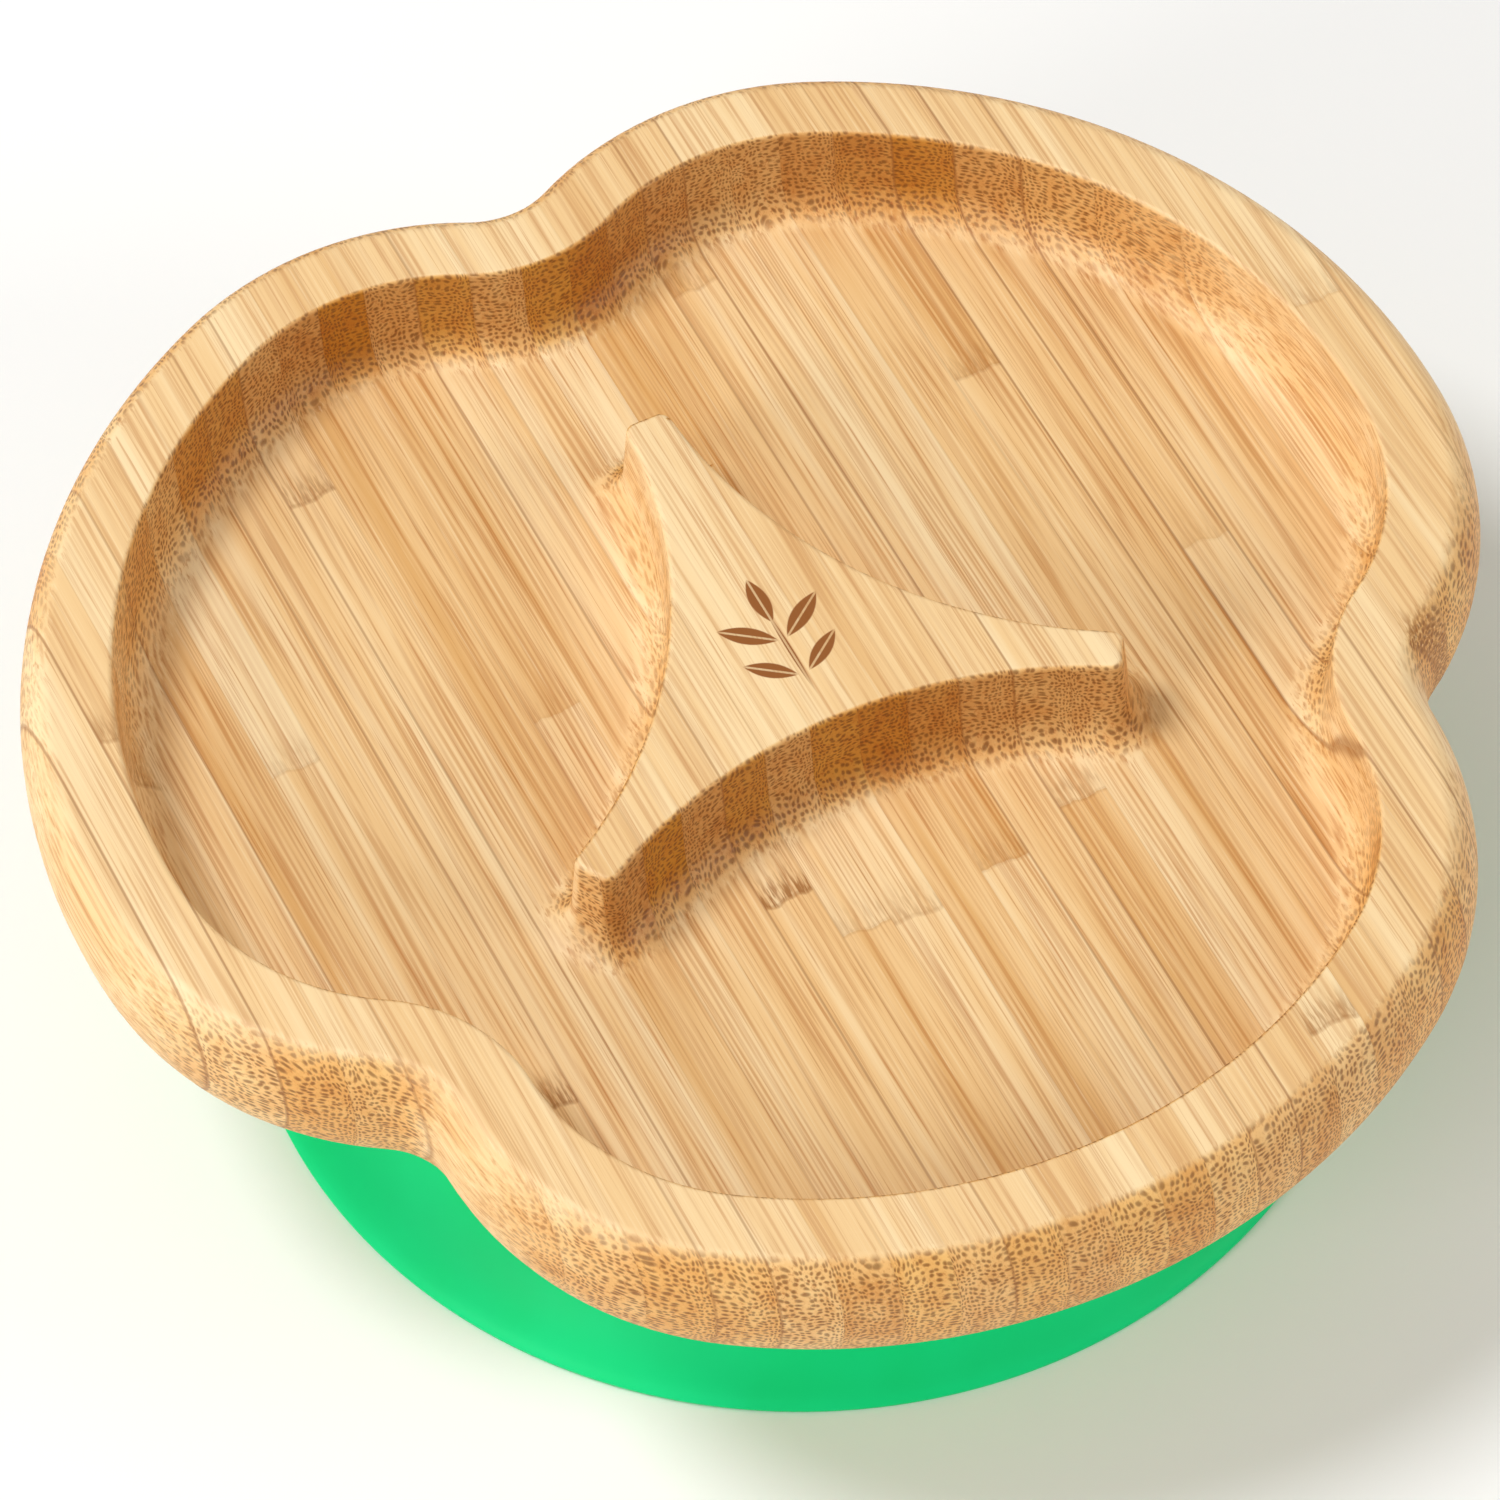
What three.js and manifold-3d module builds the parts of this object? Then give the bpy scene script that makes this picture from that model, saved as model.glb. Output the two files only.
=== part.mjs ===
// Suction plate for a small child: a three-lobed divided plate, routed from one board of glued bamboo
// strips, that stands on a soft silicone suction ring. Millimetres, +Z up, z = 0 on the table top.
// The strips run along Y and are stacked along X. A lobe points along -Y, the other two at +-60 degrees
// from +Y, and a notch points along +Y. Origin: under the middle of the plate's bounding box.
import * as THREE from 'three';
import { mergeVertices } from 'three/addons/utils/BufferGeometryUtils.js';
import Module from 'manifold-3d';

const wasm = await Module();
wasm.setup();

// ---- Driving dimensions -------------------------------------------------------------------------

const totalHeight = 55.5; // table to rim
const plateHeight = 23; // thickness of the bamboo board
const lobeCount = 3;

// Rim line: the sharp inner edge of the rim, an outline of tangent arcs
const lobeOffset = 9.3; // centre of a lobe's arc from the plate's axis
const lobeRadius = 70.2;
const lobeHalfAngle = THREE.MathUtils.degToRad(34.6);
const shoulderRadius = 31.4; // convex arc between lobe and notch
const notchRadius = 21.7; // concave arc in the notch

// Outside of the rim, as offsets outwards from the rim line
const rimWidth = 7.4; // flat top
const bulge = 4.4; // the side swells this far past the flat top
const bulgeDepth = 9.3; // depth of the widest line under the rim
const footOffset = 0; // the underside's outline is straight under the rim line

// Food compartments
const cavityDepth = 12.6;
const cavityFillet = 5; // round between wall and floor
const wallDraft = 0.6; // the wall leans in by this much over its height

// Divider island between the compartments, with one arm towards each notch; the back arm is shorter
const sideArmLength = 40.5;
const backArmLength = 37.4;
const armLengths = [sideArmLength, backArmLength, sideArmLength]; // anticlockwise from the right arm
const armTipHalfWidth = 2.9;
const armTipRound = 1.4;
const waist = 13.5; // from the axis to the middle of each concave side

// Bamboo strips
const stripWidth = 6.25;
const stripCount = 29;
const glueLine = 0.1; // glue between two strips

// Suction ring, as radii from its own axis, which is under the middle of the plate's bounding box
const gap = 0.3; // clearance between pieces that touch
const grooveInner = 44;
const grooveOuter = 49;
const grooveDepth = 5.5;
const ribClearance = 0.3;
const collarInner = 40;
const collarOuter = 53;
const collarHeight = 6.5;
const collarFootOuter = 55;
const skirtTopInner = 47;
const ringChamfer = 1;
const lipRadius = 70;
const lipThickness = 1.4;
const lipLand = 5; // width of the flat sealing face

// Tangents of the skirt's two curves at their ends, as (outwards, upwards)
const outsideFootTangent = new THREE.Vector2(-8, 4);
const outsideTopTangent = new THREE.Vector2(4, -12);
const insideTopTangent = new THREE.Vector2(6, -12);
const insideFootTangent = new THREE.Vector2(-7, 5);

// Facets
const lobeSteps = 6; // on half a lobe's arc
const shoulderSteps = 5;
const notchSteps = 4;
const roundSteps = 4; // on the side's two curves and on each fillet
const sideSteps = 8; // on each concave side of the divider
const tipSteps = 2;
const skirtSteps = 7;
const ringSteps = 72;

const rimZ = totalHeight;
const undersideZ = totalHeight - plateHeight;
const floorZ = totalHeight - cavityDepth;
const overshoot = 2; // a cutter passes this far beyond the face it opens

// ---- Outlines -----------------------------------------------------------------------------------

const polar = (centre, radius, angle) =>
  new THREE.Vector2(centre.x + radius * Math.cos(angle), centre.y + radius * Math.sin(angle));

/** Points on an arc, without its last one. */
function arc(centre, radius, from, to, steps) {
  return Array.from({ length: steps }, (_, i) => polar(centre, radius, from + ((to - from) * i) / steps));
}

/** Joins the points of all lobes: pointsOf(lobe) draws one around +X, and the first points along -Y. */
function aroundLobes(pointsOf) {
  const outline = [];
  for (let lobe = 0; lobe < lobeCount; lobe += 1) {
    const turn = -Math.PI / 2 + (lobe * 2 * Math.PI) / lobeCount;
    pointsOf(lobe).forEach((p) => outline.push(p.clone().rotateAround(new THREE.Vector2(), turn)));
  }
  return outline;
}

/** The plate's outline, moved outwards by offset from the rim line. */
function plateOutline(offset) {
  const notchAngle = Math.PI / lobeCount;
  const lobeCentre = new THREE.Vector2(lobeOffset, 0);
  const shoulderCentre = polar(lobeCentre, lobeRadius - shoulderRadius, lobeHalfAngle);
  // The notch arc is tangent to the shoulder arc and centred on the line through the notch.
  const side = shoulderCentre.clone().rotateAround(new THREE.Vector2(), -notchAngle).y;
  const shoulderEnd = notchAngle + Math.asin(-side / (shoulderRadius + notchRadius));
  const notchCentre = polar(shoulderCentre, shoulderRadius + notchRadius, shoulderEnd);
  const half = [
    ...arc(lobeCentre, lobeRadius + offset, 0, lobeHalfAngle, lobeSteps),
    ...arc(shoulderCentre, shoulderRadius + offset, lobeHalfAngle, shoulderEnd, shoulderSteps),
    ...arc(notchCentre, notchRadius - offset, shoulderEnd + Math.PI, notchAngle + Math.PI, notchSteps),
  ];
  const mirrored = half.slice(1).reverse().map((p) => new THREE.Vector2(p.x, -p.y));
  const notchPoint = polar(notchCentre, notchRadius - offset, notchAngle + Math.PI);
  return aroundLobes(() => [...mirrored, ...half, notchPoint]);
}

/** A divider arm's blunt tip, along +X and moved outwards by offset. */
function armTip(armLength, offset) {
  const points = [];
  for (const corner of [-1, 1]) {
    const centre = new THREE.Vector2(armLength - armTipRound, corner * (armTipHalfWidth - armTipRound));
    const start = corner < 0 ? -Math.PI / 2 : 0;
    for (let i = 0; i <= tipSteps; i += 1) {
      points.push(polar(centre, armTipRound + offset, start + (i * Math.PI) / 2 / tipSteps));
    }
  }
  return points;
}

/** The divider's outline, moved outwards by offset: an arc around each lobe, and the arms' tips. */
function dividerOutline(offset) {
  const halfSector = Math.PI / lobeCount;
  const arcCentreDistance = (waist - armTipHalfWidth) / (1 - Math.sin(halfSector));
  const arcRadius = arcCentreDistance - waist - offset;
  const arcCentre = new THREE.Vector2(arcCentreDistance, 0);
  // The arcs stop where the shortest arm's tip starts; the longer arms go on with straight flanks.
  const flankStart = Math.min(...armLengths) - armTipRound;
  const centreAlongArm = arcCentreDistance * Math.cos(halfSector);
  const arcEnd = Math.PI / 2 - halfSector + Math.asin((flankStart - centreAlongArm) / arcRadius);
  const side = arc(arcCentre, arcRadius, Math.PI + arcEnd, Math.PI - arcEnd, sideSteps);
  const sideEnd = polar(arcCentre, arcRadius, Math.PI - arcEnd);
  return aroundLobes((lobe) => {
    const tip = armTip(armLengths[lobe], offset);
    return [...side, sideEnd, ...tip.map((p) => p.rotateAround(new THREE.Vector2(), halfSector))];
  });
}

const edgeYs = plateOutline(rimWidth + bulge).map((p) => p.y);
const middleY = (Math.min(...edgeYs) + Math.max(...edgeYs)) / 2; // of the bounding box, from the axis

// ---- Solids -------------------------------------------------------------------------------------

function toManifold(geometry) {
  const plain = geometry.clone();
  plain.deleteAttribute('normal');
  plain.deleteAttribute('uv');
  const merged = mergeVertices(plain, 1e-4);
  return new wasm.Manifold(
    new wasm.Mesh({
      numProp: 3,
      vertProperties: Float32Array.from(merged.attributes.position.array),
      triVerts: Uint32Array.from(merged.index.array),
    }),
  );
}

function toGeometry(solid) {
  const mesh = solid.getMesh();
  const geometry = new THREE.BufferGeometry();
  geometry.setAttribute('position', new THREE.BufferAttribute(mesh.vertProperties, 3));
  geometry.setIndex(new THREE.BufferAttribute(mesh.triVerts, 1));
  return geometry;
}

/** A closed solid through outlines of one point count, from levels [{ outline, z }], the lowest first. */
function loft(levels) {
  const count = levels[0].outline.length;
  const positions = levels.flatMap(({ outline, z }) => outline.flatMap((p) => [p.x, p.y, z]));
  const faces = [];
  for (let level = 0; level < levels.length - 1; level += 1) {
    for (let i = 0; i < count; i += 1) {
      const a = level * count + i;
      const b = level * count + ((i + 1) % count);
      faces.push(a, b, b + count, a, b + count, a + count);
    }
  }
  const top = (levels.length - 1) * count;
  THREE.ShapeUtils.triangulateShape(levels[0].outline, []).forEach(([a, b, c]) => faces.push(c, b, a));
  THREE.ShapeUtils.triangulateShape(levels.at(-1).outline, [])
    .forEach(([a, b, c]) => faces.push(top + a, top + b, top + c));
  const geometry = new THREE.BufferGeometry();
  geometry.setAttribute('position', new THREE.Float32BufferAttribute(positions, 3));
  geometry.setIndex(faces);
  return geometry;
}

/** A ring under the plate's middle from its closed section of [radius, z] points, counter-clockwise. */
function ring(section) {
  const points = [...section, section[0]].map(([radius, z]) => new THREE.Vector2(radius, z));
  return new THREE.LatheGeometry(points, ringSteps).rotateX(Math.PI / 2).translate(0, middleY, 0);
}

// ---- Plate --------------------------------------------------------------------------------------

/** The board's outside: flat rim, swelling side, and a long round down to the flat underside. */
function plateBlank() {
  const widest = rimWidth + bulge;
  const levels = [];
  for (let i = 0; i < roundSteps; i += 1) {
    const turn = (i * Math.PI) / 2 / roundSteps;
    const offset = footOffset + (widest - footOffset) * Math.sin(turn);
    const drop = bulgeDepth + (plateHeight - bulgeDepth) * Math.cos(turn);
    levels.push({ outline: plateOutline(offset), z: rimZ - drop });
  }
  for (let i = roundSteps; i >= 0; i -= 1) {
    const turn = (i * Math.PI) / 2 / roundSteps;
    const offset = rimWidth + bulge * Math.sin(turn);
    levels.push({ outline: plateOutline(offset), z: rimZ - bulgeDepth * (1 - Math.cos(turn)) });
  }
  return toManifold(loft(levels));
}

/** Wall and fillet levels over the floor; grow is +1 for a piece that widens downwards, -1 for a pocket. */
function filletLevels(outlineAt, grow, lean) {
  const levels = [];
  for (let i = 0; i <= roundSteps; i += 1) {
    const turn = (i * Math.PI) / 2 / roundSteps;
    const offset = grow * (lean + cavityFillet * (1 - Math.sin(turn)));
    levels.push({ outline: outlineAt(offset), z: floorZ + cavityFillet * (1 - Math.cos(turn)) });
  }
  levels.push({ outline: outlineAt(0), z: rimZ });
  return levels;
}

function cavity() {
  const pocket = filletLevels(plateOutline, -1, wallDraft);
  pocket.push({ outline: plateOutline(0), z: rimZ + overshoot });
  // The island's solid starts below the floor, so that the cutter keeps no skin under it.
  const island = filletLevels(dividerOutline, 1, wallDraft);
  island.unshift({ outline: island[0].outline, z: floorZ - overshoot });
  return toManifold(loft(pocket)).subtract(toManifold(loft(island)));
}

function ringGroove() {
  return toManifold(ring([
    [grooveInner, undersideZ - overshoot],
    [grooveOuter, undersideZ - overshoot],
    [grooveOuter, undersideZ + grooveDepth],
    [grooveInner, undersideZ + grooveDepth],
  ]));
}

/** The part of the board between two glue lines. */
function strip(board, index) {
  const middle = (index - (stripCount - 1) / 2) * stripWidth;
  const reach = 4 * lobeRadius;
  const slab = new THREE.BoxGeometry(stripWidth - glueLine, reach, reach).translate(middle, 0, 0);
  return toGeometry(board.intersect(toManifold(slab)));
}

// ---- Suction ring -------------------------------------------------------------------------------

const collarTop = undersideZ - gap;
const collarFoot = collarTop - collarHeight;

/** The ring's thick upper part: it bears on the underside, and its rib plugs into the groove. */
function collarSection() {
  const ribTop = undersideZ + grooveDepth - ribClearance;
  const ribOuter = grooveOuter - ribClearance;
  const ribInner = grooveInner + ribClearance;
  return [
    [collarInner + ringChamfer, collarFoot],
    [collarFootOuter, collarFoot],
    [collarOuter, collarTop],
    [ribOuter, collarTop],
    [ribOuter, ribTop - ringChamfer],
    [ribOuter - ringChamfer, ribTop],
    [ribInner + ringChamfer, ribTop],
    [ribInner, ribTop - ringChamfer],
    [ribInner, collarTop],
    [collarInner, collarTop],
    [collarInner, collarFoot + ringChamfer],
  ];
}

/** A cubic curve from its ends and the tangents that leave them, as [radius, z] points. */
function flare(start, startTangent, endTangent, end) {
  const controls = [start, start.clone().add(startTangent), end.clone().add(endTangent), end];
  return new THREE.CubicBezierCurve(...controls).getPoints(skirtSteps).map((p) => [p.x, p.y]);
}

/** The ring's flared skirt, which thins out to the sealing lip on the table. */
function skirtSection() {
  const skirtTop = collarFoot - gap;
  const lipTop = new THREE.Vector2(lipRadius, lipThickness);
  const outsideTop = new THREE.Vector2(collarFootOuter, skirtTop);
  const insideTop = new THREE.Vector2(skirtTopInner, skirtTop);
  const insideFoot = new THREE.Vector2(lipRadius - lipLand, 0);
  return [
    [lipRadius, 0],
    ...flare(lipTop, outsideFootTangent, outsideTopTangent, outsideTop),
    ...flare(insideTop, insideTopTangent, insideFootTangent, insideFoot),
  ];
}

// ---- Assembly -----------------------------------------------------------------------------------

const silicone = { color: 0x1ed182, roughness: 0.55, metalness: 0 };
const bambooTones = [0xe9c791, 0xdfb67b, 0xf0d3a2, 0xe3bc83];

function mesh(name, geometry, finish) {
  const piece = new THREE.Mesh(geometry, new THREE.MeshStandardMaterial(finish));
  piece.name = name;
  return piece;
}

const suctionPlate = new THREE.Group();
suctionPlate.position.y = -middleY;

const board = plateBlank().subtract(cavity()).subtract(ringGroove());
for (let index = 0; index < stripCount; index += 1) {
  const name = `bamboo_strip_${String(index + 1).padStart(2, '0')}`;
  const color = bambooTones[index % bambooTones.length];
  suctionPlate.add(mesh(name, strip(board, index), { color, roughness: 0.6, metalness: 0 }));
}
suctionPlate.add(mesh('seating_collar', ring(collarSection()), silicone));
suctionPlate.add(mesh('suction_skirt', ring(skirtSection()), silicone));

export default suctionPlate;
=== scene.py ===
"""Suction plate: a three-lobed bamboo plate with a divider island, on a green silicone suction ring.
All lengths are in metres in the CAD frame; grain runs along Y, strips are stacked along X."""
import math

import bmesh
import bpy
from mathutils import Matrix, Vector


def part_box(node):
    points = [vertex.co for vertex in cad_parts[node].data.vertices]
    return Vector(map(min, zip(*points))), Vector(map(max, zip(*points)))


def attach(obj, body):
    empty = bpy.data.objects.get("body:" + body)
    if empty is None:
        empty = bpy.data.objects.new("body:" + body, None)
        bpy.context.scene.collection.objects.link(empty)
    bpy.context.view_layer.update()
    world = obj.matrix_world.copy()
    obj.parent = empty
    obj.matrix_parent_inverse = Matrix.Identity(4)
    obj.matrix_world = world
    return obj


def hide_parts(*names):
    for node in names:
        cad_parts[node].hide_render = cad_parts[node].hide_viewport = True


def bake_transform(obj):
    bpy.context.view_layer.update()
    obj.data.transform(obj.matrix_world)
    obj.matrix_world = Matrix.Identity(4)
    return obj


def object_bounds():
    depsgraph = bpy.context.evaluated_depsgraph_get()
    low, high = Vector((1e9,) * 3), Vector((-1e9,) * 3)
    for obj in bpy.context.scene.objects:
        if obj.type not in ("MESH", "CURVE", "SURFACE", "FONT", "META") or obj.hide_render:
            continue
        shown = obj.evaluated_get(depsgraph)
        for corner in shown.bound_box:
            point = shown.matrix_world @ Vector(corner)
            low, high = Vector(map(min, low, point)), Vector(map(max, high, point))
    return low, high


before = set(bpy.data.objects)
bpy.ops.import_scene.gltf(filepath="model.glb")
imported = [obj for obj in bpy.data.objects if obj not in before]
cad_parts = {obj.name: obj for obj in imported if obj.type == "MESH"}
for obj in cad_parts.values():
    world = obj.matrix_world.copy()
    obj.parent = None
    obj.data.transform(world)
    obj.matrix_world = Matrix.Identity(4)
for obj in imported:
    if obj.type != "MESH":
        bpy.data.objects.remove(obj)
cad_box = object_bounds()

# ---- Driving dimensions ---------------------------------------------------------------------------

MM = 0.001
STRIPS = sorted(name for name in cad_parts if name.startswith("bamboo_strip"))
STRIP_WIDTH = 6.25 * MM
MIDDLE_STRIP = len(STRIPS) / 2

SKIRT_LOW, SKIRT_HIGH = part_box("suction_skirt")
COLLAR_LOW, COLLAR_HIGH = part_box("seating_collar")
RING_AXIS = (SKIRT_LOW + SKIRT_HIGH) / 2

LOBES = 3
LOBE_OFFSET = 9.3 * MM
LOBE_RADIUS = 70.2 * MM
LOBE_HALF_ANGLE = math.radians(34.6)
SHOULDER_RADIUS = 31.4 * MM
NOTCH_RADIUS = 21.7 * MM

PLATE_HEIGHT = 23 * MM
RIM_WIDTH = 7.4 * MM
BULGE = 4.4 * MM
BULGE_DEPTH = 9.3 * MM
RIM_INNER_ROUND = 0.7 * MM

CAVITY_DEPTH = 12.6 * MM
CAVITY_FILLET = 5 * MM
WALL_DRAFT = 0.6 * MM

ARM_LENGTHS = (40.5 * MM, 37.4 * MM, 40.5 * MM)  # anticlockwise from the right arm
ARM_TIP_HALF_WIDTH = 2.9 * MM
ARM_TIP_ROUND = 1.4 * MM
WAIST = 13.5 * MM
DIVIDER_EDGE_ROUND = 0.8 * MM

GROOVE_INNER = 44 * MM
GROOVE_OUTER = 49 * MM
GROOVE_DEPTH = 5.5 * MM
GROOVE_ROUND = 0.4 * MM

LIP_RADIUS = (SKIRT_HIGH.x - SKIRT_LOW.x) / 2
LIP_THICKNESS = 1.4 * MM
LIP_LAND = 5 * MM
LIP_ROUND = 0.4 * MM
COLLAR_INNER = 40 * MM
COLLAR_OUTER = 53 * MM
COLLAR_FOOT = COLLAR_LOW.z
COLLAR_FOOT_OUTER = (COLLAR_HIGH.x - COLLAR_LOW.x) / 2
SEAT_GAP = 0.3 * MM
SOFT_EDGE = 1 * MM  # where an edge's round starts, and how far its middle point stands in
SOFT_EDGE_IN = 0.3 * MM

RIM_Z = cad_box[1].z
FLOOR_Z = RIM_Z - CAVITY_DEPTH
UNDERSIDE_Z = RIM_Z - PLATE_HEIGHT

# Points on each arc of an outline, on the rounds between the outlines, and round the ring
LOBE_STEPS = 20
SHOULDER_STEPS = 18
NOTCH_STEPS = 14
SECTOR_POINTS = 2 * (LOBE_STEPS + SHOULDER_STEPS + NOTCH_STEPS)
CORNER_STEPS = 9
SIDE_STEPS = SECTOR_POINTS - 2 * (CORNER_STEPS + 1) - 1
ROUND_STEPS = 12
EDGE_STEPS = 4
RING_SEGMENTS = 256


def srgb(red, green, blue):
    """Linear colour with alpha from 0-255 display values."""
    def linear(value):
        value /= 255
        return value / 12.92 if value <= 0.04045 else ((value + 0.055) / 1.055) ** 2.4
    return (linear(red), linear(green), linear(blue), 1.0)


# ---- Camera ---------------------------------------------------------------------------------------

def add_camera():
    azimuth = math.radians(-24.67)
    elevation = math.radians(54.22)
    roll = math.radians(-2.27)
    distance = 0.913
    aim_right, aim_up = -3.8 * MM, -13.4 * MM
    back = Vector((math.sin(azimuth) * math.cos(elevation), -math.cos(azimuth) * math.cos(elevation),
                   math.sin(elevation)))
    level_right = Vector((math.cos(azimuth), math.sin(azimuth), 0))
    level_up = back.cross(level_right)
    right = level_right * math.cos(roll) + level_up * math.sin(roll)
    up = back.cross(right)
    data = bpy.data.cameras.new("camera")
    data.sensor_width = 36
    data.lens = 184.8
    camera = bpy.data.objects.new("camera", data)
    bpy.context.collection.objects.link(camera)
    place = Vector((PLATE_AXIS.x, PLATE_AXIS.y, RIM_Z)) + back * distance + right * aim_right + up * aim_up
    axes = Matrix((right, up, back)).transposed()
    camera.matrix_world = Matrix.Translation(place) @ axes.to_4x4()
    bpy.context.scene.camera = camera


# ---- Outlines, as lists of (x, y) around the plate's axis ------------------------------------------

def polar(centre, radius, angle):
    return (centre[0] + radius * math.cos(angle), centre[1] + radius * math.sin(angle))


def arc(centre, radius, start, end, steps):
    """Points on an arc, without its first one."""
    return [polar(centre, radius, start + (end - start) * i / steps) for i in range(1, steps + 1)]


def all_round(sectors):
    """Joins the lobes' points, each drawn around +X; the first lobe points along -Y."""
    points = []
    for lobe, sector in enumerate(sectors):
        turn = -math.pi / 2 + lobe * 2 * math.pi / LOBES
        c, s = math.cos(turn), math.sin(turn)
        points += [(x * c - y * s, x * s + y * c) for x, y in sector]
    return points


def plate_outline(offset):
    """The rim line, moved outwards by offset: tangent arcs over lobe, shoulder and notch."""
    notch = math.pi / LOBES
    lobe_centre = (LOBE_OFFSET, 0)
    shoulder = polar(lobe_centre, LOBE_RADIUS - SHOULDER_RADIUS, LOBE_HALF_ANGLE)
    side = shoulder[1] * math.cos(notch) - shoulder[0] * math.sin(notch)
    shoulder_end = notch + math.asin(-side / (SHOULDER_RADIUS + NOTCH_RADIUS))
    hollow = polar(shoulder, SHOULDER_RADIUS + NOTCH_RADIUS, shoulder_end)
    half = [(LOBE_OFFSET + LOBE_RADIUS + offset, 0)]
    half += arc(lobe_centre, LOBE_RADIUS + offset, 0, LOBE_HALF_ANGLE, LOBE_STEPS)
    half += arc(shoulder, SHOULDER_RADIUS + offset, LOBE_HALF_ANGLE, shoulder_end, SHOULDER_STEPS)
    half += arc(hollow, NOTCH_RADIUS - offset, shoulder_end + math.pi, notch + math.pi, NOTCH_STEPS)
    mirrored = [(x, -y) for x, y in reversed(half[1:-1])]
    return all_round([mirrored + half] * LOBES)


def divider_outline(offset):
    """The island's outline, moved outwards by offset: a concave side per lobe, a blunt tip per notch."""
    notch = math.pi / LOBES
    centre_distance = (WAIST - ARM_TIP_HALF_WIDTH) / (1 - math.sin(notch))
    radius = centre_distance - WAIST - offset
    flank_start = min(ARM_LENGTHS) - ARM_TIP_ROUND
    side_end = math.pi / 2 - notch + math.asin((flank_start - centre_distance * math.cos(notch)) / radius)
    side = arc((centre_distance, 0), radius, math.pi + side_end, math.pi - side_end, SIDE_STEPS)
    c, s = math.cos(notch), math.sin(notch)
    sectors = []
    for length in ARM_LENGTHS:
        corner = (length - ARM_TIP_ROUND, ARM_TIP_ROUND - ARM_TIP_HALF_WIDTH)
        right = [polar(corner, ARM_TIP_ROUND + offset, -math.pi / 2)]
        right += arc(corner, ARM_TIP_ROUND + offset, -math.pi / 2, 0, CORNER_STEPS)
        tip = right + [(right[-1][0], 0)] + [(x, -y) for x, y in reversed(right)]
        sectors.append(side + [(x * c - y * s, x * s + y * c) for x, y in tip])
    points = all_round(sectors)
    past_tip = CORNER_STEPS + 1
    return points[-past_tip:] + points[:-past_tip]


def circle(radius, like):
    """Points on a circle around the ring's axis, each at the angle of its point in the outline like."""
    middle = (RING_AXIS.x, RING_AXIS.y - PLATE_AXIS.y)
    return [polar(middle, radius, math.atan2(y - middle[1], x - middle[0])) for x, y in like]


def plate_axis():
    """The middle between the lobes, from the plate's box and its widest outline."""
    outermost = [y for _, y in plate_outline(RIM_WIDTH + BULGE)]
    box_middle = (cad_box[0] + cad_box[1]) / 2
    return Vector((box_middle.x, box_middle.y - (min(outermost) + max(outermost)) / 2, 0))


PLATE_AXIS = plate_axis()


# ---- Meshes ---------------------------------------------------------------------------------------

def loft(name, rings):
    """A closed mesh through rings of (outline, z), from the middle of the top, round to the underside's."""
    mesh = bmesh.new()
    rows = []
    for outline, z in rings:
        rows.append([mesh.verts.new((PLATE_AXIS.x + x, PLATE_AXIS.y + y, z)) for x, y in outline])
    count = len(rows[0])
    for row, following in zip(rows, rows[1:]):
        for i in range(count):
            j = (i + 1) % count
            mesh.faces.new((row[i], following[i], following[j], row[j]))
    top = mesh.verts.new((PLATE_AXIS.x, PLATE_AXIS.y, rings[0][1]))
    bottom = mesh.verts.new((PLATE_AXIS.x, PLATE_AXIS.y, rings[-1][1]))
    for i in range(count):
        j = (i + 1) % count
        mesh.faces.new((top, rows[0][i], rows[0][j]))
        mesh.faces.new((bottom, rows[-1][j], rows[-1][i]))
    bmesh.ops.recalc_face_normals(mesh, faces=mesh.faces)
    return smooth_piece(name, mesh)


def link_mesh(name, mesh):
    """An object that holds the bmesh, with every face smooth."""
    data = bpy.data.meshes.new(name)
    for face in mesh.faces:
        face.smooth = True
    mesh.to_mesh(data)
    mesh.free()
    piece = bpy.data.objects.new(name, data)
    bpy.context.collection.objects.link(piece)
    return piece


def smooth_piece(name, mesh):
    piece = link_mesh(name, mesh)
    weighted = piece.modifiers.new("weighted_normals", "WEIGHTED_NORMAL")
    weighted.keep_sharp = True
    return piece


def quarter(steps):
    """Angles over a quarter turn, with both ends."""
    return [math.pi / 2 * i / steps for i in range(steps + 1)]


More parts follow.
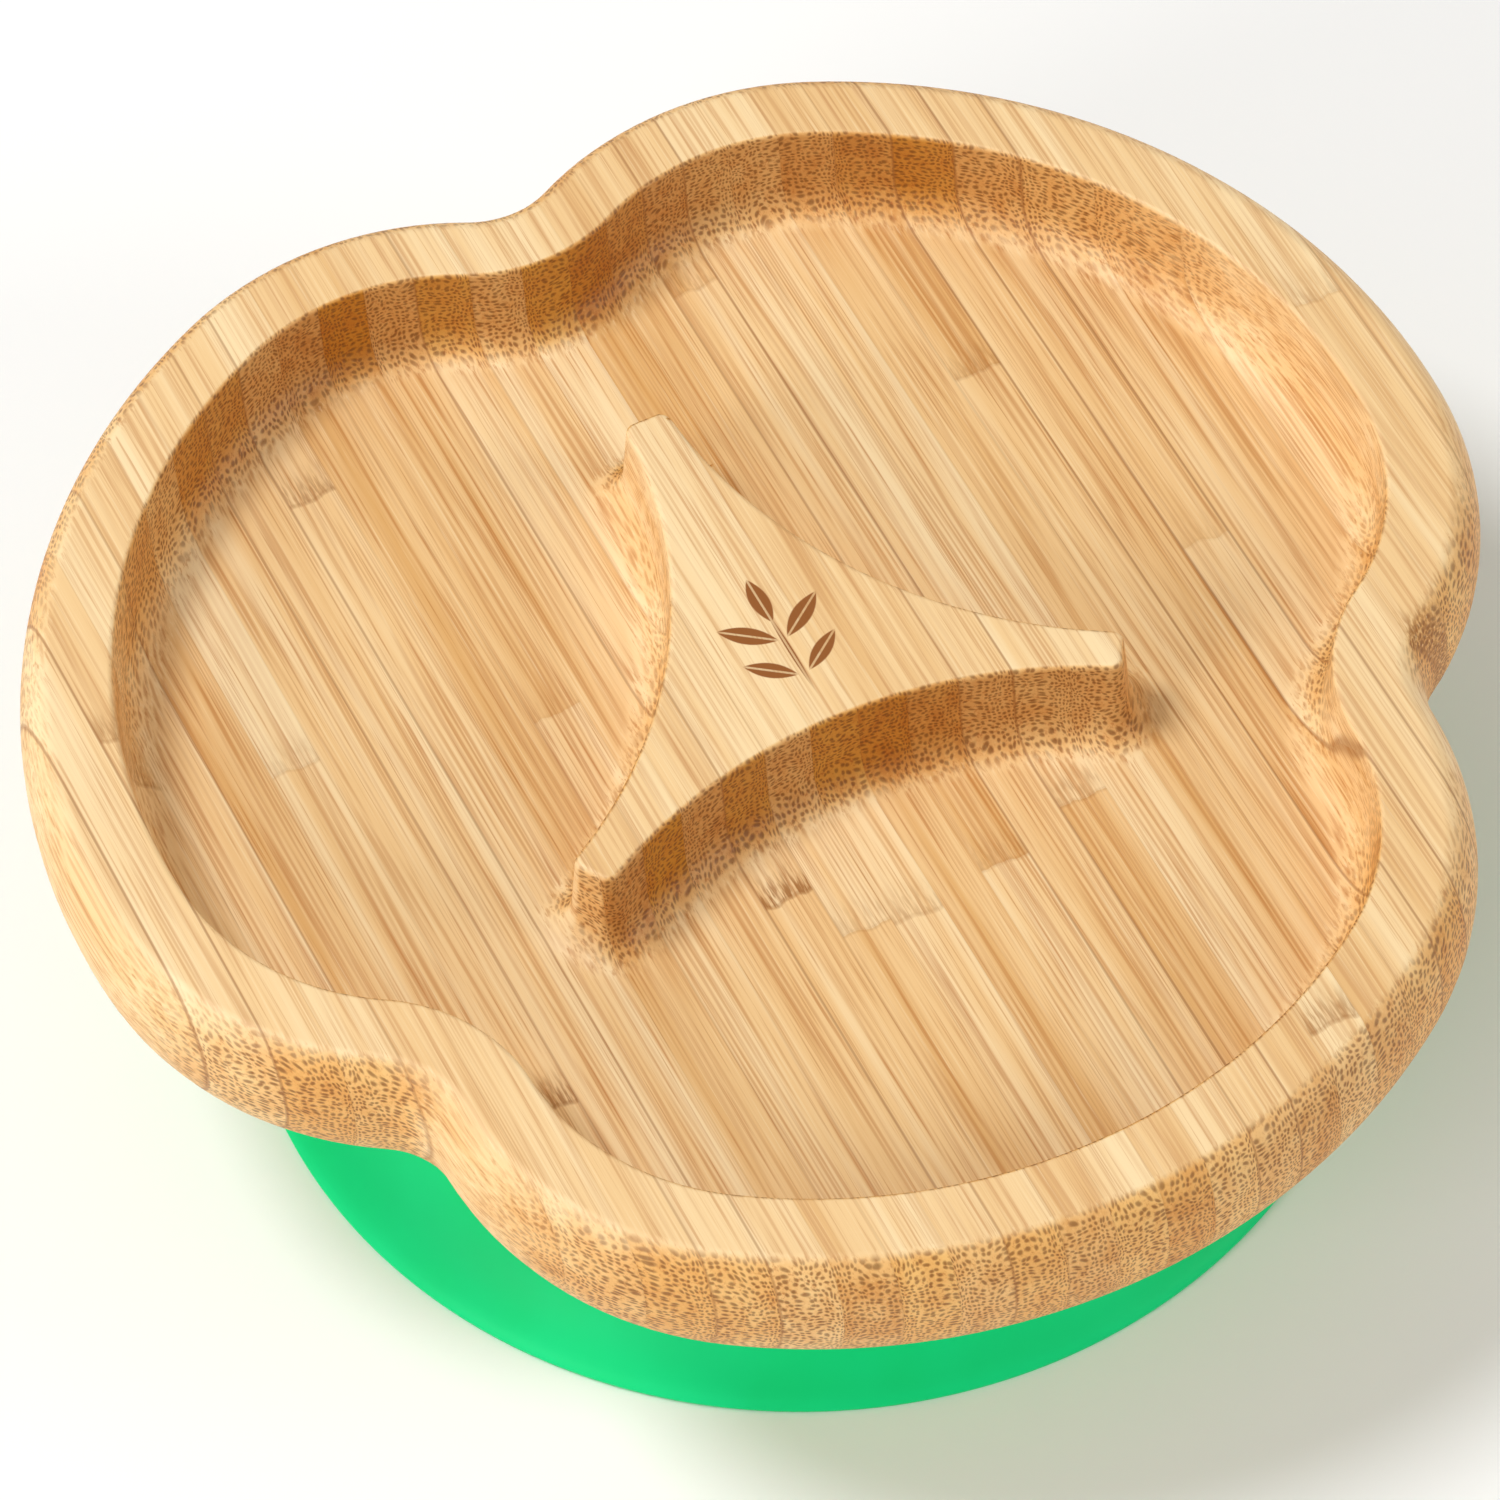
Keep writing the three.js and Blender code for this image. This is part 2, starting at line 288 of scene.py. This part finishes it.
def build_plate():
    rings = []
    # island: flat top, small edge round, wall, fillet down to the floor
    for turn in quarter(EDGE_STEPS):
        rings.append((divider_outline(DIVIDER_EDGE_ROUND * (math.sin(turn) - 1)),
                      RIM_Z - DIVIDER_EDGE_ROUND * (1 - math.cos(turn))))
    for turn in reversed(quarter(ROUND_STEPS)):
        offset = WALL_DRAFT + CAVITY_FILLET * (1 - math.sin(turn))
        rings.append((divider_outline(offset), FLOOR_Z + CAVITY_FILLET * (1 - math.cos(turn))))
    # pocket: floor, fillet, wall, rounded inner edge of the rim
    for turn in quarter(ROUND_STEPS):
        offset = -(WALL_DRAFT + CAVITY_FILLET * (1 - math.sin(turn)))
        rings.append((plate_outline(offset), FLOOR_Z + CAVITY_FILLET * (1 - math.cos(turn))))
    for turn in quarter(EDGE_STEPS):
        rings.append((plate_outline(RIM_INNER_ROUND * (1 - math.cos(turn))),
                      RIM_Z - RIM_INNER_ROUND * (1 - math.sin(turn))))
    # outside: flat rim, swelling side, long round to the underside
    for turn in quarter(ROUND_STEPS):
        rings.append((plate_outline(RIM_WIDTH + BULGE * math.sin(turn)),
                      RIM_Z - BULGE_DEPTH * (1 - math.cos(turn))))
    widest = RIM_WIDTH + BULGE
    lower = PLATE_HEIGHT - BULGE_DEPTH
    for turn in quarter(ROUND_STEPS)[1:]:
        rings.append((plate_outline(widest * math.cos(turn)),
                      RIM_Z - BULGE_DEPTH - lower * math.sin(turn)))
    # underside with the groove that takes the ring's rib
    foot = plate_outline(0)
    groove_mouth = UNDERSIDE_Z + GROOVE_ROUND
    groove_top = UNDERSIDE_Z + GROOVE_DEPTH
    groove = ((GROOVE_OUTER + GROOVE_ROUND, UNDERSIDE_Z), (GROOVE_OUTER, groove_mouth),
              (GROOVE_OUTER, groove_top), (GROOVE_INNER, groove_top),
              (GROOVE_INNER, groove_mouth), (GROOVE_INNER - GROOVE_ROUND, UNDERSIDE_Z))
    for radius, z in groove:
        rings.append((circle(radius, foot), z))
    return loft("whole_plate", rings)


GLUED_FACE = 0.9999  # how far a face has to look along X to be a cut


def with_normals(piece):
    """Turns the piece into a bmesh whose points carry their shading normals."""
    shaded = piece.evaluated_get(bpy.context.evaluated_depsgraph_get()).to_mesh()
    corners = shaded.corner_normals
    normals = {loop.vertex_index: corners[loop.index].vector.copy() for loop in shaded.loops}
    mesh = bmesh.new()
    mesh.from_mesh(piece.data)
    carried = mesh.verts.layers.float_vector.new("shading_normal")
    for vert in mesh.verts:
        vert[carried] = normals[vert.index]
    bpy.data.objects.remove(piece)
    return mesh


def cut_at(mesh, x, keep_right):
    """Keeps one side of the plane at x, and closes the cut."""
    everything = mesh.verts[:] + mesh.edges[:] + mesh.faces[:]
    cut = bmesh.ops.bisect_plane(mesh, geom=everything, dist=1e-7,
                                 plane_co=(x, 0, 0), plane_no=(1, 0, 0),
                                 clear_inner=keep_right, clear_outer=not keep_right)
    edges = [part for part in cut["geom_cut"] if isinstance(part, bmesh.types.BMEdge)]
    bmesh.ops.edgeloop_fill(mesh, edges=edges)


def cut_strip(whole, number):
    """One bamboo strip of the plate: the part between its two glue lines, shaded as in the whole plate."""
    mesh = whole.copy()
    glue_line = (number - MIDDLE_STRIP) * STRIP_WIDTH
    if number > 0:
        cut_at(mesh, glue_line, keep_right=True)
    if number < len(STRIPS) - 1:
        cut_at(mesh, glue_line + STRIP_WIDTH, keep_right=False)
    bmesh.ops.recalc_face_normals(mesh, faces=mesh.faces)
    mesh.normal_update()
    carried = mesh.verts.layers.float_vector["shading_normal"]
    normals = []
    for face in mesh.faces:
        glued = abs(face.normal.x) > GLUED_FACE
        for corner in face.loops:
            normals.append(face.normal.copy() if glued else corner.vert[carried].copy())
    strip = link_mesh(f"glued_{STRIPS[number]}", mesh)
    strip.data.normals_split_custom_set(normals)
    return strip


def bezier(points, steps):
    """Points on a cubic curve, both ends included."""
    p0, p1, p2, p3 = [Vector(p) for p in points]
    result = []
    for i in range(steps + 1):
        t = i / steps
        early = p0 * (1 - t) ** 3 + p1 * 3 * t * (1 - t) ** 2
        result.append(tuple(early + p2 * 3 * t * t * (1 - t) + p3 * t ** 3))
    return result


def ring_section():
    """The silicone ring's section as (radius, z), counter-clockwise from the lip's outer foot."""
    seat = UNDERSIDE_Z - SEAT_GAP
    top = COLLAR_FOOT
    rib_outer = GROOVE_OUTER - SEAT_GAP
    rib_inner = GROOVE_INNER + SEAT_GAP
    rib_top = COLLAR_HIGH.z

    # outside: lip, flare, collar, seat
    section = [(LIP_RADIUS - LIP_ROUND, 0), (LIP_RADIUS, LIP_ROUND), (LIP_RADIUS, LIP_THICKNESS - LIP_ROUND)]
    section += bezier(((LIP_RADIUS, LIP_THICKNESS), (LIP_RADIUS - 8 * MM, LIP_THICKNESS + 4 * MM),
                       (COLLAR_FOOT_OUTER + 4 * MM, top - 12 * MM), (COLLAR_FOOT_OUTER, top)), 24)[1:]
    section += bezier(((COLLAR_FOOT_OUTER, top), (COLLAR_FOOT_OUTER - 0.6 * MM, top + 2 * MM),
                       (COLLAR_OUTER, seat - 3 * MM), (COLLAR_OUTER, seat - SOFT_EDGE)), 6)[1:]
    section += [(COLLAR_OUTER - SOFT_EDGE_IN, seat - SOFT_EDGE_IN), (COLLAR_OUTER - SOFT_EDGE, seat)]

    # rib that fills the plate's groove
    section += [(rib_outer, seat), (rib_outer, rib_top - SOFT_EDGE)]
    section += [(rib_outer - SOFT_EDGE_IN, rib_top - SOFT_EDGE_IN), (rib_outer - SOFT_EDGE, rib_top)]
    section += [(rib_inner + SOFT_EDGE, rib_top), (rib_inner + SOFT_EDGE_IN, rib_top - SOFT_EDGE_IN)]
    section += [(rib_inner, rib_top - SOFT_EDGE), (rib_inner, seat)]

    # inside: seat, collar, flare down to the lip's flat foot
    section += [(COLLAR_INNER + SOFT_EDGE, seat), (COLLAR_INNER + SOFT_EDGE_IN, seat - SOFT_EDGE_IN)]
    section += [(COLLAR_INNER, seat - SOFT_EDGE), (COLLAR_INNER, top + SOFT_EDGE)]
    section += bezier(((COLLAR_INNER, top + SOFT_EDGE), (COLLAR_INNER + 1 * MM, top - 1 * MM),
                       (COLLAR_INNER + 6 * MM, top - 1 * MM), (COLLAR_INNER + 8 * MM, top - 3 * MM)), 8)[1:]
    section += bezier(((COLLAR_INNER + 8 * MM, top - 3 * MM), (COLLAR_INNER + 13 * MM, top - 12 * MM),
                       (LIP_RADIUS - LIP_LAND - 7 * MM, 5 * MM), (LIP_RADIUS - LIP_LAND, 0)), 20)[1:]
    return section


def build_ring():
    mesh = bmesh.new()
    section = ring_section()
    rows = []
    for i in range(RING_SEGMENTS):
        angle = 2 * math.pi * i / RING_SEGMENTS
        c, s = math.cos(angle), math.sin(angle)
        rows.append([mesh.verts.new((RING_AXIS.x + r * c, RING_AXIS.y + r * s, z)) for r, z in section])
    for row, following in zip(rows, rows[1:] + rows[:1]):
        for i in range(len(section)):
            j = (i + 1) % len(section)
            mesh.faces.new((row[i], following[i], following[j], row[j]))
    bmesh.ops.recalc_face_normals(mesh, faces=mesh.faces)
    return smooth_piece("silicone_suction_ring", mesh)


# ---- Materials ------------------------------------------------------------------------------------

SEED_STEP = 17.31  # keeps the draws with different seeds apart


class Graph:
    """A material's node tree, with short calls for the nodes used here."""

    def __init__(self, name):
        self.material = bpy.data.materials.new(name)
        self.material.use_nodes = True
        self.tree = self.material.node_tree
        self.shader = self.tree.nodes["Principled BSDF"]

    def put(self, socket, value):
        if isinstance(value, bpy.types.NodeSocket):
            self.tree.links.new(value, socket)
        else:
            socket.default_value = value

    def node(self, kind, output=0, inputs=None, **settings):
        made = self.tree.nodes.new(kind)
        for key, value in settings.items():
            setattr(made, key, value)
        for key, value in (inputs or {}).items():
            self.put(made.inputs[key], value)
        return made.outputs[output]

    def math(self, operation, a, b=0.0, c=0.0):
        return self.node("ShaderNodeMath", inputs={0: a, 1: b, 2: c}, operation=operation)

    def add(self, a, b):
        return self.math("ADD", a, b)

    def times(self, a, b):
        return self.math("MULTIPLY", a, b)

    def step(self, value, low, high, to_low=0.0, to_high=1.0):
        """Smooth step of value from low..high to to_low..to_high."""
        return self.node("ShaderNodeMapRange", inputs={0: value, 1: low, 2: high, 3: to_low, 4: to_high},
                         interpolation_type="SMOOTHSTEP")

    def mix(self, factor, a, b, blend="MIX"):
        made = self.tree.nodes.new("ShaderNodeMix")
        made.data_type = "RGBA"
        made.blend_type = blend
        for index, value in ((0, factor), (6, a), (7, b)):
            self.put(made.inputs[index], value)
        return made.outputs[2]

    def random(self, value, seed):
        """A number from 0 to 1 that depends on value and seed."""
        at = self.add(value, seed * SEED_STEP)
        return self.node("ShaderNodeTexWhiteNoise", inputs={"W": at}, noise_dimensions="1D")

    def split(self, vector):
        made = self.tree.nodes.new("ShaderNodeSeparateXYZ")
        self.put(made.inputs[0], vector)
        return made.outputs

    def vector(self, x, y, z):
        return self.node("ShaderNodeCombineXYZ", inputs={0: x, 1: y, 2: z})

    def noise(self, at, detail=2.0, roughness=0.5):
        return self.node("ShaderNodeTexNoise", output="Fac",
                         inputs={"Vector": at, "Scale": 1.0, "Detail": detail, "Roughness": roughness})

    def bump(self, height, strength, distance):
        inputs = {"Height": height, "Strength": strength, "Distance": distance}
        self.put(self.shader.inputs["Normal"], self.node("ShaderNodeBump", inputs=inputs))


# Bamboo
PALE = srgb(249, 221, 172)
MIDDLE = srgb(238, 197, 138)
HONEY = srgb(222, 170, 102)
STREAK = srgb(184, 114, 42)
OUTER_END_GROUND = srgb(243, 216, 166)
# The pocket's end-grain ground is painted shade: a deeper, richer copy of the outer end-grain ground
POCKET_END_GROUND_PAINTED_SHADE = srgb(200, 152, 38)
BUNDLE = srgb(106, 64, 10)
GLUE = srgb(150, 92, 38)
KNOT = srgb(152, 92, 24)
SCORCH = srgb(146, 84, 26)

SILICONE = (srgb(1, 220, 130), srgb(5, 224, 137))
FLOOR = srgb(250, 250, 249)

# The bamboo's nodes work in millimetres
BUNDLES_PER_STRIP = 10.5
BUNDLE_PITCH = 0.62
RIM_MM = RIM_Z / MM
DIVIDER_REACH = max(ARM_LENGTHS) / MM + 10

# Culm nodes: strip number, y, how dark the mark is
KNOTS = ((13, -22, 0.9), (22, 38, 0.35), (9, 58, 0.6), (7, -36, 0.8), (3, 27, 0.5), (17, -29, 0.3),
         (26, -31, 0.9), (15, -31, 0.35), (14, -30, 0.3), (6, 22, 0.25), (20, -74, 0.6), (19, -25, 0.4),
         (11, 15, 0.15), (24, 2, 0.15), (18, 66, 0.3), (28, 20, 0.3))

# The sprig burned into the divider: x, y, turn in radians, half length and half width of the stem and leaves
MARK_Y = 3.0
LEAVES = ((0.0, MARK_Y - 1.0, 1.57, 7.0, 0.35), (-3.6, MARK_Y + 3.2, 2.5, 3.8, 1.25),
          (3.6, MARK_Y + 3.2, 0.64, 3.8, 1.25), (-3.4, MARK_Y - 2.6, 2.5, 3.4, 1.1),
          (3.4, MARK_Y - 2.6, 0.64, 3.4, 1.1), (0.0, MARK_Y + 7.2, 1.57, 3.6, 1.2))


def bamboo_strips(g, x):
    """Each strip's number, and the way across it from its outer skin, 0, to its inner side, 1."""
    across = g.add(g.times(x, MM / STRIP_WIDTH), MIDDLE_STRIP)
    number = g.math("FLOOR", across)
    along = g.math("FRACT", across)
    turned = g.math("GREATER_THAN", g.random(number, 4), 0.5)
    return number, along, g.math("ABSOLUTE", g.math("SUBTRACT", along, turned))


def bamboo_bundles(g, number, from_skin, y, z):
    """The dark fibre bundles: dots on end grain, long lines along it. Denser near the strip's skin."""
    packed = g.times(g.math("SQRT", g.add(from_skin, 0.12)), BUNDLES_PER_STRIP * 1.2)
    packed = g.add(packed, g.times(g.random(number, 2), 90))
    layer = g.add(g.times(z, 1 / BUNDLE_PITCH), g.times(g.random(number, 3), 200))
    wander_at = g.vector(g.times(packed, 0.21), g.times(y, 0.012), g.times(layer, 0.17))
    wander = g.split(g.node("ShaderNodeTexNoise", output="Color",
                            inputs={"Vector": wander_at, "Scale": 1.0, "Detail": 1.0}))
    at = g.vector(g.add(packed, g.times(wander[0], 3.6)), g.add(layer, g.times(wander[2], 3.6)), 0.0)
    distance = g.node("ShaderNodeTexVoronoi", output="Distance", feature="F1", voronoi_dimensions="2D",
                      inputs={"Vector": at, "Scale": 1.0, "Randomness": 0.55})
    return g.math("SUBTRACT", 1.0, g.step(distance, 0.14, 0.46))


def bamboo_knots(g, number, x, y):
    """At the culm nodes: a streaked band that fades one way, a thin line across, and which side of it."""
    wave = g.times(g.math("SUBTRACT", g.noise(g.vector(g.times(x, 0.3), number, 0.0)), 0.5), 2.5)
    band, line, side = 0.0, 0.0, 0.0
    for strip, place, darkness in KNOTS:
        here = g.math("COMPARE", number, strip - 1, 0.1)
        past = g.add(g.math("SUBTRACT", y, place), wave)
        fading = g.times(g.step(past, -0.5, 0.3), g.step(past, 0.8, 6.5, darkness, 0.0))
        band = g.add(band, g.times(here, fading))
        line = g.add(line, g.times(here, g.step(g.math("ABSOLUTE", past), 0.12, 0.5, darkness, 0.0)))
        side = g.add(side, g.times(here, g.math("GREATER_THAN", past, 0.0)))
    return band, line, side


def pocket_shade_mask(g, x, y, facing):
    """Where the end grain gets painted shade: 1 on the pocket's walls, which face the plate's axis, and on
    the divider; 0 on the outside.
    """
    from_axis = g.math("SUBTRACT", y, PLATE_AXIS.y / MM)
    inwards = g.math("LESS_THAN", g.add(g.times(facing[0], x), g.times(facing[1], from_axis)), 0.0)
    away = g.math("SQRT", g.add(g.times(x, x), g.times(from_axis, from_axis)))
    return g.math("MAXIMUM", inwards, g.math("LESS_THAN", away, DIVIDER_REACH))


def leaf_mark(g, x, y, upward):
    """A small leaf sprig burned into the divider's top, as a factor from 0 to 1."""
    mark = 0.0
    for centre_x, centre_y, turn, half_length, half_width in LEAVES:
        c, s = math.cos(turn), math.sin(turn)
        away_x, away_y = g.math("SUBTRACT", x, centre_x), g.math("SUBTRACT", y, centre_y)
        along = g.times(g.add(g.times(away_x, c), g.times(away_y, s)), 1 / half_length)
        beside = g.math("ABSOLUTE", g.math("SUBTRACT", g.times(away_y, c), g.times(away_x, s)))
        edge = g.times(g.math("SUBTRACT", 1.0, g.times(along, along)), half_width)
        inside = g.math("SUBTRACT", edge, beside)
        vein = g.step(beside, 0.05, 0.22)
        leaf = g.times(g.step(inside, -0.08, 0.12), g.step(vein, 0.0, 1.0, 0.35, 1.0))
        mark = g.math("MAXIMUM", mark, leaf)
    return g.times(mark, upward)


def bamboo_material():
    g = Graph("bamboo")
    place = g.split(g.node("ShaderNodeTexCoord", output="Object"))
    x, y, z = [g.times(part, 1 / MM) for part in place[:3]]
    facing = g.split(g.node("ShaderNodeTexCoord", output="Normal"))
    along_grain = g.math("ABSOLUTE", facing[1])
    end_grain = g.step(along_grain, 0.16, 0.62)
    number, along, from_skin = bamboo_strips(g, x)
    bundles = bamboo_bundles(g, number, from_skin, y, z)
    band, line, side = bamboo_knots(g, number, x, y)

    own = g.times(g.random(number, 1), 300)
    fine = g.noise(g.vector(g.times(g.add(x, own), 2.8), g.times(y, 0.035), g.times(z, 2.8)), 3.0, 0.65)
    broad = g.noise(g.vector(g.times(g.add(x, own), 0.42), g.times(y, 0.010), g.times(z, 0.3)), 2.0)
    speck = g.noise(g.vector(g.times(x, 2.8), g.times(y, 0.30), g.times(z, 2.8)), 2.0, 0.6)

    # Long grain: strip tone, broad bands, bundle lines, fine streaks
    tone = g.add(g.times(g.random(g.add(number, g.times(side, 0.5)), 5), 0.40), g.times(broad, 0.90))
    colour = g.mix(g.step(tone, 0.30, 0.72), PALE, MIDDLE)
    colour = g.mix(g.step(tone, 0.68, 1.02), colour, HONEY)
    lined = g.times(bundles, g.step(broad, 0.35, 0.65, 0.20, 0.52))
    colour = g.mix(lined, colour, STREAK)
    colour = g.mix(g.step(fine, 0.50, 0.74, 0.0, 0.70), colour, STREAK)
    colour = g.mix(g.step(fine, 0.30, 0.44, 0.45, 0.0), colour, PALE)

    # Painted light: the top face is a little paler than the milled pocket, standing in for the shade that
    # falls in the pocket
    colour = g.mix(g.step(z, RIM_MM - 3, RIM_MM - 0.5, 0.0, 0.2), colour, PALE)

    # End grain: deeper ground, with painted shade making it richer on the pocket's steep walls and the
    # divider, and dark dots
    pocket_painted_shade = g.times(pocket_shade_mask(g, x, y, facing), g.step(along_grain, 0.35, 0.95))
    end_ground_with_painted_shade = g.mix(pocket_painted_shade, OUTER_END_GROUND, POCKET_END_GROUND_PAINTED_SHADE)
    ground = g.mix(g.add(0.65, g.times(g.random(number, 6), 0.35)), colour, end_ground_with_painted_shade, "MULTIPLY")
    ends = g.mix(g.times(bundles, 0.62), ground, BUNDLE)
    colour = g.mix(end_grain, colour, ends)

    # Culm nodes, glue lines
    colour = g.mix(g.times(band, g.step(speck, 0.40, 0.62, 0.15, 0.95)), colour, KNOT)
    colour = g.mix(g.times(band, g.step(speck, 0.28, 0.40, 0.6, 0.0)), colour, PALE)
    colour = g.mix(g.times(line, 0.4), colour, KNOT)
    colour = g.mix(leaf_mark(g, x, y, g.step(facing[2], 0.95, 0.99)), colour, SCORCH)
    to_joint = g.math("MINIMUM", along, g.math("SUBTRACT", 1.0, along))
    joint = g.math("ROUND", g.add(along, number))
    seen = g.step(g.random(joint, 7), 0.3, 0.9, 0.12, 0.6)
    colour = g.mix(g.times(seen, g.step(to_joint, 0.008, 0.040, 1.0, 0.0)), colour, GLUE)
    g.put(g.shader.inputs["Base Color"], colour)

    g.put(g.shader.inputs["Roughness"], g.add(0.42, g.times(fine, 0.2)))
    height = g.math("SUBTRACT", g.times(fine, 0.5), g.times(bundles, g.add(0.15, g.times(end_grain, 0.7))))
    g.bump(height, 0.3, 0.12 * MM)
    g.shader.inputs["IOR"].default_value = 1.45
    return g.material


def silicone_material():
    g = Graph("silicone")
    place = g.node("ShaderNodeTexCoord", output="Object")
    cloud, grain = [g.node("ShaderNodeTexNoise", output="Fac",
                           inputs={"Vector": place, "Scale": scale, "Detail": 2.0})
                    for scale in (60.0, 2600.0)]
    colour = g.mix(g.step(cloud, 0.3, 0.7), *SILICONE)
    g.put(g.shader.inputs["Base Color"], colour)
    g.put(g.shader.inputs["Roughness"], g.add(0.46, g.times(grain, 0.12)))
    g.bump(grain, 0.12, 0.05 * MM)
    g.shader.inputs["IOR"].default_value = 1.41
    g.shader.inputs["Specular IOR Level"].default_value = 0.25
    return g.material


def floor_material():
    g = Graph("studio_floor")
    g.shader.inputs["Base Color"].default_value = FLOOR
    g.shader.inputs["Roughness"].default_value = 0.9
    return g.material


# ---- Studio ---------------------------------------------------------------------------------------

def add_floor():
    bpy.ops.mesh.primitive_plane_add(size=12, location=(0, 0, 0))
    floor = bpy.context.object
    floor.name = "studio_floor"
    floor.data.materials.append(floor_material())


def add_softbox(name, place, size, power, colour=(1, 1, 1)):
    data = bpy.data.lights.new(name, "AREA")
    data.shape = "DISK"
    data.size = size
    data.energy = power
    data.color = colour
    light = bpy.data.objects.new(name, data)
    bpy.context.collection.objects.link(light)
    light.location = place
    aim = Vector((PLATE_AXIS.x, PLATE_AXIS.y, RIM_Z)) - Vector(place)
    light.rotation_mode = "QUATERNION"
    light.rotation_quaternion = aim.to_track_quat("-Z", "Y")


def add_lights():
    add_softbox("key_back_left", (-0.95, 0.55, 2.0), size=0.8, power=28, colour=(0.98, 1.0, 1.03))
    add_softbox("side_left", (-2.2, -0.6, 0.9), size=0.9, power=21)
    add_softbox("front_right", (1.6, -1.3, 0.9), size=0.9, power=12)
    world = bpy.data.worlds.new("studio")
    world.use_nodes = True
    world.node_tree.nodes["Background"].inputs["Color"].default_value = (1.0, 0.96, 0.90, 1)
    world.node_tree.nodes["Background"].inputs["Strength"].default_value = 0.42
    bpy.context.scene.world = world


# ---- Scene ----------------------------------------------------------------------------------------

add_camera()

whole_plate = with_normals(build_plate())
bamboo = bamboo_material()
for strip_number, strip_node in enumerate(STRIPS):
    bamboo_strip = cut_strip(whole_plate, strip_number)
    bamboo_strip.data.materials.append(bamboo)
    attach(bamboo_strip, "plate")
    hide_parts(strip_node)

ring = build_ring()
ring.data.materials.append(silicone_material())
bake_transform(ring)
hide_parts("suction_skirt", "seating_collar")

add_floor()
add_lights()
bpy.context.scene.view_settings.view_transform = "Standard"
